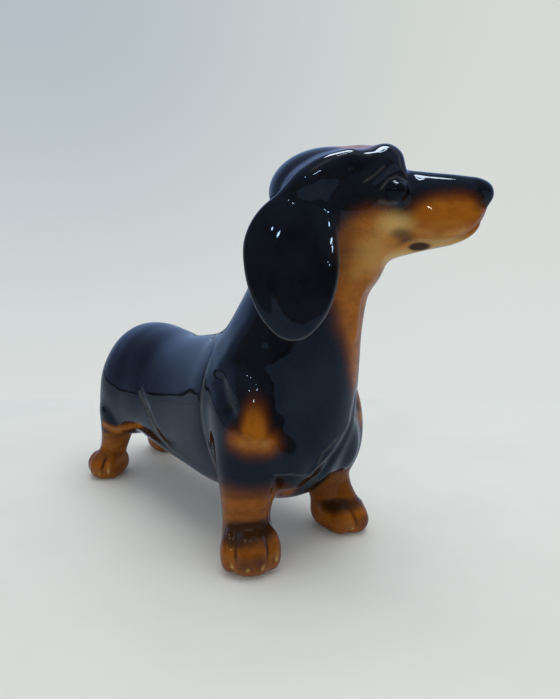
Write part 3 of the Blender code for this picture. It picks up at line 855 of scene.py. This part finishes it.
def paint(points):
    """Amber, cream, brown and bare clay on each point, from nought to one, and how strongly the painted
    highlight lines show there.
    """
    z = points[:, 2]
    places = {"dog": points, "body": one_sided(points), "head": one_sided(to_head(points))}
    layers = {name: np.zeros(len(points)) for name in ("amber", "cream", "brown")}

    def over(name, more):
        np.maximum(layers[name], more, out=layers[name])

    paint_legs(points, over)
    for where, name, radius, soft, strength, path in STROKES:
        over(name, stroke(places[where], path, radius, soft) * strength)
    for name, middle, radii, soft, strength in BLOBS:
        over(name, blob(places["head"], middle, radii, soft) * strength)
    over("amber", stroke(places["body"], SHOULDER_STRIP, 4.2, 3.8) * (1 - 0.9 * step(z, 47, 67)))
    for along in (0, 2.6, 5.0):
        hair = ((2.4 + along, 27.4 - along / 2, 50, 1), (1.4 + along, 26.6 - along / 2, 62, 1))
        over("brown", stroke(places["body"], hair, 0.3, 1.6) * 0.45)
    # painted shade: the amber behind the cheek darkened to brown
    over("brown", stroke(places["head"], CHEEK_SHADE, 2, 8) * 0.9 * layers["amber"])
    bare = 1 - step(z, 0.3, 0.9)
    return np.column_stack([*layers.values(), bare]), highlight_lines(places)


def paint_legs(points, over):
    """Amber stockings with brown bands, brown strokes between the toes, and on the toes dark strokes and pale
    ones that are painted highlights.
    """
    x, y, z = points.T

    def column(at_x, at_y):
        return 1 - step(np.hypot(x - at_x, y - at_y), 14, 20)

    for at_x, at_y, top, soft in STOCKINGS:
        over("amber", (1 - step(z, top - soft, top + soft)) * column(at_x, at_y) * 0.82)
        for band, strength in ((top - 3, 0.45), (top - 9, 0.3), (top - 14, 0.2)):
            tilt = 0.10 * (x - at_x) + 0.10 * (y - at_y)
            over("brown", strength * np.exp(-((z - band - tilt) / 1.7) ** 2) * column(at_x, at_y))
    over("brown", 0.5 * (1 - step(z, 24, 27)) * column(-3, 20) * step(z, 11, 15))
    for name, (place, turn, size) in PAWS.items():
        at = in_paw(place, turn, size)
        top_radii = (0.34 * size[0], 0.58 * size[1], 0.30 * size[2])
        strength = 0.5 if name.startswith("hind") else 1
        over("brown", blob(points, at(0.06, 0, 0.84), top_radii, 0.45) * strength)
        for groove in toe_grooves(place, turn, size):
            over("brown", stroke(points, [(*p, w) for p, w in zip(groove, (1.6, 1.3, 0.9, 0.3))], 0.6, 1.0))
        for toe in TOES:
            bow = toe**2
            nail = [(*at(0.40 - 0.035 * bow, toe * 0.23, 0.5), 0.7),
                    (*at(0.46 - 0.04 * bow, toe * 0.24, 0.2), 1.2)]
            over("brown", stroke(points, nail, 0.3, 0.7) * 0.7)
            # a pale cream stroke on each toe: a painted highlight
            shine = [(*at(0.36 - 0.035 * bow, (toe + 0.22) * 0.23, 0.62), 1),
                     (*at(0.46 - 0.04 * bow, (toe + 0.22) * 0.24, 0.25), 1)]
            over("cream", stroke(points, shine, 0.4, 1.2))


def highlight_lines(places):
    """Painted highlights and reflections along lines, seen along one axis so that the line lies on the
    surface.
    """
    paleness = np.zeros(len(places["dog"]))
    for where, lines, axis in (("body", BODY_HIGHLIGHTS, 1), ("dog", CHEST_HIGHLIGHTS, 0), ("head", HEAD_HIGHLIGHTS, 1)):
        flat = np.arange(3) == axis
        seen = np.where(flat, 0, places[where])
        outside = step(places[where][:, axis], 2, 5)
        for width, strength, path in lines:
            line = [(*np.where(flat, 0, p), 1) for p in path]
            np.maximum(paleness, stroke(seen, line, 0.0, width) * strength * outside, out=paleness)
    return paleness


# ---------------------------------------------------------------- glaze

class Nodes:
    """Short ways to place and join shader nodes."""

    def __init__(self, name):
        self.material = bpy.data.materials.new(name)
        self.material.use_nodes = True
        self.tree = self.material.node_tree
        self.shader = self.tree.nodes["Principled BSDF"]

    def new(self, kind, **settings):
        node = self.tree.nodes.new(kind)
        for key, value in settings.items():
            setattr(node, key, value)
        return node

    def join(self, source, target):
        self.tree.links.new(source, target)
        return target

    def put(self, socket, value):
        if isinstance(value, bpy.types.NodeSocket):
            self.join(value, socket)
        else:
            socket.default_value = value

    def math(self, operation, a, b=0.0, c=0.0, clamp=False):
        node = self.new("ShaderNodeMath", operation=operation, use_clamp=clamp)
        for socket, value in zip(node.inputs, (a, b, c)):
            self.put(socket, value)
        return node.outputs[0]

    def span(self, value, low, high, to_low=0.0, to_high=1.0):
        node = self.new("ShaderNodeMapRange", interpolation_type="SMOOTHSTEP")
        for socket, number in zip(node.inputs, (value, low, high, to_low, to_high)):
            self.put(socket, number)
        return node.outputs[0]

    def mix(self, factor, a, b, blend="MIX"):
        node = self.new("ShaderNodeMix", data_type="RGBA", blend_type=blend)
        self.put(node.inputs[0], factor)
        self.put(node.inputs[6], a)
        self.put(node.inputs[7], b)
        return node.outputs[2]

    def noise(self, scale, detail, rough, stretch=(1, 1, 1)):
        place = self.new("ShaderNodeTexCoord")
        mapping = self.new("ShaderNodeMapping")
        mapping.inputs["Scale"].default_value = stretch
        self.join(place.outputs["Object"], mapping.inputs["Vector"])
        node = self.new("ShaderNodeTexNoise")
        self.join(mapping.outputs[0], node.inputs["Vector"])
        for name, value in (("Scale", scale), ("Detail", detail), ("Roughness", rough)):
            node.inputs[name].default_value = value
        return node.outputs["Fac"]


# Colours are linear, with alpha.
BLUE_BLACK = (0.009, 0.011, 0.015, 1)
SOOT_BLACK = (0.005, 0.005, 0.006, 1)
AMBER = (0.37, 0.118, 0.010, 1)
AMBER_DEEP = (0.15, 0.036, 0.005, 1)
CREAM = (0.60, 0.38, 0.12, 1)
BROWN = (0.040, 0.016, 0.006, 1)
# pale grey of thin glaze on ridges, also painted on as highlights and reflections along lines
THIN_GLAZE_AND_SHINE = (0.30, 0.29, 0.26, 1)
DARK_GLOSS = (0.42, 0.66, 1.0, 1)
AMBER_GLOSS = (0.85, 0.66, 0.48, 1)
CLAY = (0.62, 0.55, 0.43, 1)


def glaze(name, dark=BLUE_BLACK, paleness=0.45, shine=0.42):
    """Airbrushed colours under a clear glaze, paler where it runs thin on ridges, with painted highlights and
    reflections along given lines, and speckled at the edge of each colour.
    """
    n = Nodes(name)
    paint_node = n.new("ShaderNodeAttribute", attribute_name="paint")
    split = n.new("ShaderNodeSeparateColor")
    n.join(paint_node.outputs["Color"], split.inputs[0])
    bend = n.new("ShaderNodeAttribute", attribute_name="bend").outputs["Fac"]
    painted_shine = n.new("ShaderNodeAttribute", attribute_name="painted_shine").outputs["Fac"]
    speck = n.noise(2200, 3, 0.7)
    cloud = n.noise(75, 3, 0.5)
    streak = n.noise(150, 4, 0.6, stretch=(1, 1, 2))

    def edge(mask, grain=0.45, drift=0.35):
        """The mask with a dusty, drifting border."""
        dusted = n.math("ADD", mask, n.math("MULTIPLY", n.math("SUBTRACT", speck, 0.5), grain))
        dusted = n.math("ADD", dusted, n.math("MULTIPLY", n.math("SUBTRACT", cloud, 0.5), drift))
        inside = n.math("MULTIPLY", dusted, n.span(mask, 0.0, 0.12))
        return n.span(inside, 0.08, 0.95)

    amber, cream, brown = split.outputs
    black = n.mix(n.span(cloud, 0.35, 0.7), dark, SOOT_BLACK)
    tan = n.mix(n.span(streak, 0.4, 0.7, 0.0, 0.55), AMBER, AMBER_DEEP)
    tan = n.mix(n.span(amber, 0.35, 1.0), AMBER_DEEP, tan)
    colour = n.mix(edge(amber), black, tan)
    colour = n.mix(edge(cream, 0.3), colour, CREAM)
    colour = n.mix(edge(brown, 0.3), colour, BROWN)
    # paler on ridges where the glaze runs thin, and painted highlights and reflections along the lines
    # painted on each point
    ridge = n.math("MULTIPLY", n.span(bend, 0.5, 1.6), paleness)
    thin_glaze_and_shine = n.math("MULTIPLY", n.math("ADD", ridge, painted_shine, clamp=True), n.span(streak, 0.2, 0.6, 0.6, 1.0))
    colour = n.mix(thin_glaze_and_shine, colour, THIN_GLAZE_AND_SHINE)
    bare = n.span(paint_node.outputs["Alpha"], 0.3, 0.7)
    gloss = n.math("ADD", 0.02, n.math("MULTIPLY", n.noise(700, 3, 0.6), 0.03))
    bump = n.new("ShaderNodeBump")
    n.put(bump.inputs["Strength"], 0.3)
    n.put(bump.inputs["Distance"], 0.00003)
    n.put(bump.inputs["Height"], n.noise(420, 2, 0.4))
    for name, value in (
        ("Base Color", n.mix(bare, colour, CLAY)),
        ("Specular Tint", n.mix(edge(amber), DARK_GLOSS, AMBER_GLOSS)),
        ("Roughness", n.span(bare, 0.0, 1.0, gloss, 0.75)),
        ("Normal", bump.outputs[0]),
        ("IOR", 1.46),
        ("Specular IOR Level", shine),
        ("Coat Weight", 0.05),
        ("Coat Roughness", 0.02),
    ):
        n.put(n.shader.inputs[name], value)
    return n.material


# ---------------------------------------------------------------- pieces

SLOTS = {
    "rear_body_shell": "rear_body_glaze",
    "front_body_shell": "front_body_glaze",
    "head_shell": "head_glaze",
    "ear_left": "ear_glaze",
    "ear_right": "ear_glaze",
    "foreleg_left": "leg_glaze",
    "foreleg_right": "leg_glaze",
    "hindleg_left": "leg_glaze",
    "hindleg_right": "leg_glaze",
    "tail": "tail_glaze",
    "eye_left": "eye_glaze",
    "eye_right": "eye_glaze",
}
LOOKS = {
    # dark colour, share of thin glaze on ridges and shine, where they aren't the usual ones of glaze()
    "head_glaze": (BLUE_BLACK, 0.2),
    "eye_glaze": (SOOT_BLACK, 0.0, 0.25),
}


def place(name, data):
    """A new object in the scene."""
    thing = bpy.data.objects.new(name, data)
    bpy.context.scene.collection.objects.link(thing)
    return thing


def layout_origin():
    """Where the layout's origin lies in the frame, from the two eyes."""
    eyes = [(Vector(low) + Vector(high)) / 2 for low, high in map(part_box, ("eye_left", "eye_right"))]
    middle = (np.array(eyes[0]) + np.array(eyes[1])) / 2
    laid_out = in_head(EYE_AT[0], 0, EYE_AT[2]) * MM
    return np.array([middle[0] - laid_out[0], middle[1] - laid_out[1], 0.0])


def make_piece(surface, name, origin, finish):
    """One piece of the figurine as a closed mesh, with its paint and its glaze."""
    points, faces, outer = surface.piece(name)
    _, normal, bend = slopes(surface.clay, points)
    mesh = bpy.data.meshes.new("glazed_" + name)
    mesh.vertices.add(len(points))
    mesh.vertices.foreach_set("co", (points * MM + origin).ravel())
    mesh.loops.add(faces.size)
    mesh.loops.foreach_set("vertex_index", faces.ravel())
    mesh.polygons.add(len(faces))
    mesh.polygons.foreach_set("loop_start", np.arange(0, faces.size, 3))
    mesh.polygons.foreach_set("use_smooth", np.ones(len(faces), bool))
    mesh.update(calc_edges=True)
    a, b, c = (points[faces[outer:, i]] for i in range(3))
    flat = np.cross(b - a, c - a)
    flat /= np.linalg.norm(flat, axis=1)[:, None] + 1e-12
    corners = normal[faces.ravel()]
    corners[3 * outer:] = np.repeat(flat, 3, axis=0)
    mesh.normals_split_custom_set(corners)
    colours, painted_shine = paint(points)
    layer = mesh.attributes.new("paint", "FLOAT_COLOR", "POINT")
    layer.data.foreach_set("color", colours.ravel())
    # how sharply the surface bends, and the painted highlight lines
    for attribute, values in (("bend", bend), ("painted_shine", painted_shine)):
        layer = mesh.attributes.new(attribute, "FLOAT", "POINT")
        layer.data.foreach_set("value", values)
    mesh.materials.append(finish)
    piece = place("glazed_" + name, mesh)
    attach(piece, "root")
    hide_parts(name)


def make_dog():
    clay = model_body()
    bare = clay.copy()
    model_limbs(clay)
    carve_head(clay)
    carve_body(clay)
    for side in (-1, 1):
        clay.add(eye_shape(side), 0.4)
    earless = clay.copy()
    add_ears(clay)
    clay.stand(1.2)
    clay.soften(1.0)
    surface = Surface(clay)
    cut_up(surface, bare, earless)
    origin = layout_origin()
    finishes = {slot: glaze(slot, *LOOKS.get(slot, ())) for slot in dict.fromkeys(SLOTS.values())}
    for name, slot in SLOTS.items():
        make_piece(surface, name, origin, finishes[slot])
    return origin


# ---------------------------------------------------------------- stage, lights and camera

CAMERA_AT = np.array([150.0, -143.0, 108.0])       # in the dog's layout
CAMERA_HEADING = math.atan2(0.664, -0.748)         # from +X, anticlockwise
CAMERA_PITCH = math.radians(-10.0)
SENSOR = 36.0
LENS = 604 / 560 * SENSOR                          # solved from the perspective of the paws and the outline


def make_camera(origin):
    data = bpy.data.cameras.new("camera")
    data.sensor_fit = "HORIZONTAL"
    data.sensor_width = SENSOR
    data.lens = LENS
    data.clip_start = 0.01
    camera = place("camera", data)
    camera.location = Vector(CAMERA_AT * MM + origin)
    camera.rotation_euler = (math.pi / 2 + CAMERA_PITCH, 0.0, CAMERA_HEADING - math.pi / 2)
    bpy.context.scene.camera = camera


BOARD_COLOUR = (0.88, 0.895, 0.86, 1)
BOARD_IN_GLOSS = (0.46, 0.54, 0.64, 1)
BOARD_HALF = 0.45                                  # metres to its near edge and to each side
BOARD_BEHIND = 0.176                               # and to its far edge


def plain_material(name, colour, roughness):
    """A matt colour with faint clouds, and a bluer one where the glaze reflects it."""
    n = Nodes(name)
    cloud = n.noise(9, 4, 0.6)
    shade = tuple(0.94 * channel for channel in colour[:3]) + (1,)
    seen = n.mix(n.span(cloud, 0.3, 0.7), colour, shade)
    in_gloss = n.new("ShaderNodeLightPath").outputs["Is Glossy Ray"]
    n.join(n.mix(in_gloss, seen, BOARD_IN_GLOSS), n.shader.inputs["Base Color"])
    n.shader.inputs["Roughness"].default_value = roughness
    return n.material


def make_stage():
    """A square pale board, turned so that its far edge runs level across the picture."""
    mesh = bpy.data.meshes.new("floor")
    corners = [(x, y, 0) for x, y in ((BOARD_HALF, -BOARD_HALF), (BOARD_HALF, BOARD_HALF),
                                      (-BOARD_BEHIND, BOARD_HALF), (-BOARD_BEHIND, -BOARD_HALF))]
    mesh.from_pydata(corners, [], [(0, 1, 2, 3)])
    mesh.materials.append(plain_material("pale_board", BOARD_COLOUR, 0.6))
    floor = place("floor", mesh)
    floor.rotation_euler = (0.0, 0.0, CAMERA_HEADING + math.pi)


def area_light(name, at, towards, size, power, colour=(1, 1, 1)):
    data = bpy.data.lights.new(name, "AREA")
    data.shape = "RECTANGLE"
    data.size, data.size_y = size
    data.energy = power
    data.color = colour
    light = place(name, data)
    light.location = at
    light.rotation_euler = (Vector(towards) - Vector(at)).to_track_quat("-Z", "Y").to_euler()
    return light


def ramp(n, value, stops):
    """Colours along a value, from (place, colour) stops."""
    node = n.new("ShaderNodeValToRGB")
    n.join(value, node.inputs["Fac"])
    elements = node.color_ramp.elements
    while len(elements) < len(stops):
        elements.new(0.5)
    for element, (at, colour) in zip(elements, stops):
        element.position = at
        element.color = (*colour, 1)
    return node.outputs[0]


GROUND = (0.30, 0.36, 0.43)
SKIRTING = (0.01, 0.01, 0.01)
# What the glaze mirrors, as stops from straight down (0) over level (0.5) to straight up (1).
NEAR_ROOM = ((0.0, GROUND), (0.478, GROUND), (0.482, SKIRTING), (0.496, SKIRTING),
             (0.51, (0.05, 0.055, 0.07)), (0.64, (0.045, 0.05, 0.07)), (0.82, (0.12, 0.15, 0.20)),
             (1.0, (0.22, 0.26, 0.33)))
FAR_FLOOR = ((0.0, GROUND), (0.482, GROUND), (0.485, SKIRTING), (0.494, SKIRTING))
SIDE_ROOM = (*FAR_FLOOR, (0.498, (0.16, 0.21, 0.34)), (0.75, (0.12, 0.16, 0.30)), (0.95, (0.16, 0.22, 0.36)))
FAR_WALL = (*FAR_FLOOR, (0.498, (0.30, 0.42, 0.66)), (0.75, (0.34, 0.50, 0.90)), (0.95, (0.22, 0.30, 0.46)))
# The wall as the camera sees it: left, right and below. The last one lights what isn't glossy.
WALL_LEFT = (0.46, 0.52, 0.56, 1)
WALL_RIGHT = (0.66, 0.69, 0.66, 1)
WALL_BELOW = (0.70, 0.73, 0.72, 1)
ROOM_LIGHT = (0.55, 0.57, 0.58, 1)


def make_world():
    """A pale wall behind, seen directly; in the gloss a dim blue room, a dark skirting line and a wall."""
    world = bpy.data.worlds.new("room")
    bpy.context.scene.world = world
    world.use_nodes = True
    n = Nodes.__new__(Nodes)
    n.tree = world.node_tree
    place = n.new("ShaderNodeTexCoord")
    parts = n.new("ShaderNodeSeparateXYZ")
    n.join(place.outputs["Generated"], parts.inputs[0])
    rise = n.math("MULTIPLY_ADD", parts.outputs["Z"], 0.5, 0.5)
    cosine, sine = math.cos(CAMERA_HEADING), math.sin(CAMERA_HEADING)

    def towards(x_share, y_share):
        return n.math("ADD", n.math("MULTIPLY", parts.outputs["X"], x_share),
                      n.math("MULTIPLY", parts.outputs["Y"], y_share))

    away = towards(cosine, sine)
    sideways = towards(-sine, cosine)
    near, side, far = (ramp(n, rise, stops) for stops in (NEAR_ROOM, SIDE_ROOM, FAR_WALL))
    gloss = n.mix(n.span(away, -0.16, -0.02), near, side)
    gloss = n.mix(n.span(away, 0.25, 0.75), gloss, far)
    seen = n.mix(n.span(sideways, 0.35, -0.35), WALL_LEFT, WALL_RIGHT)
    seen = n.mix(n.span(parts.outputs["Z"], 0.35, -0.3), seen, WALL_BELOW)
    rays = n.new("ShaderNodeLightPath")
    light = n.mix(rays.outputs["Is Glossy Ray"], ROOM_LIGHT, gloss)
    light = n.mix(rays.outputs["Is Camera Ray"], light, seen)
    n.join(light, n.tree.nodes["Background"].inputs["Color"])


GLOSS_LAMPS = (
    # name, place and size in metres, power in watts
    ("ceiling_panel", (-0.06, 0.16, 0.95), (0.44, 0.24), 5.5),
    ("ceiling_strip", (0.22, 0.05, 0.95), (0.22, 0.02), 0.5),
    ("small_lamp", (0.56, -0.62, 0.48), (0.07, 0.022), 0.2),
    ("far_lamp", (0.30, -0.80, 0.60), (0.05, 0.02), 0.15),
)


def make_light():
    """A wide soft lamp that lights the scene, and smaller ones that only show in the gloss."""
    make_world()
    centre = (0, 0, 0.06)
    soft = area_light("soft_lamp", (0.05, 0.15, 1.0), centre, (0.8, 0.8), 3.9, (1.0, 0.99, 0.95))
    soft.visible_glossy = False
    for name, at, size, power in GLOSS_LAMPS:
        area_light(name, at, centre, size, power).visible_diffuse = False
    bpy.context.scene.view_settings.view_transform = "Standard"


origin = make_dog()
make_camera(origin)
make_stage()
make_light()
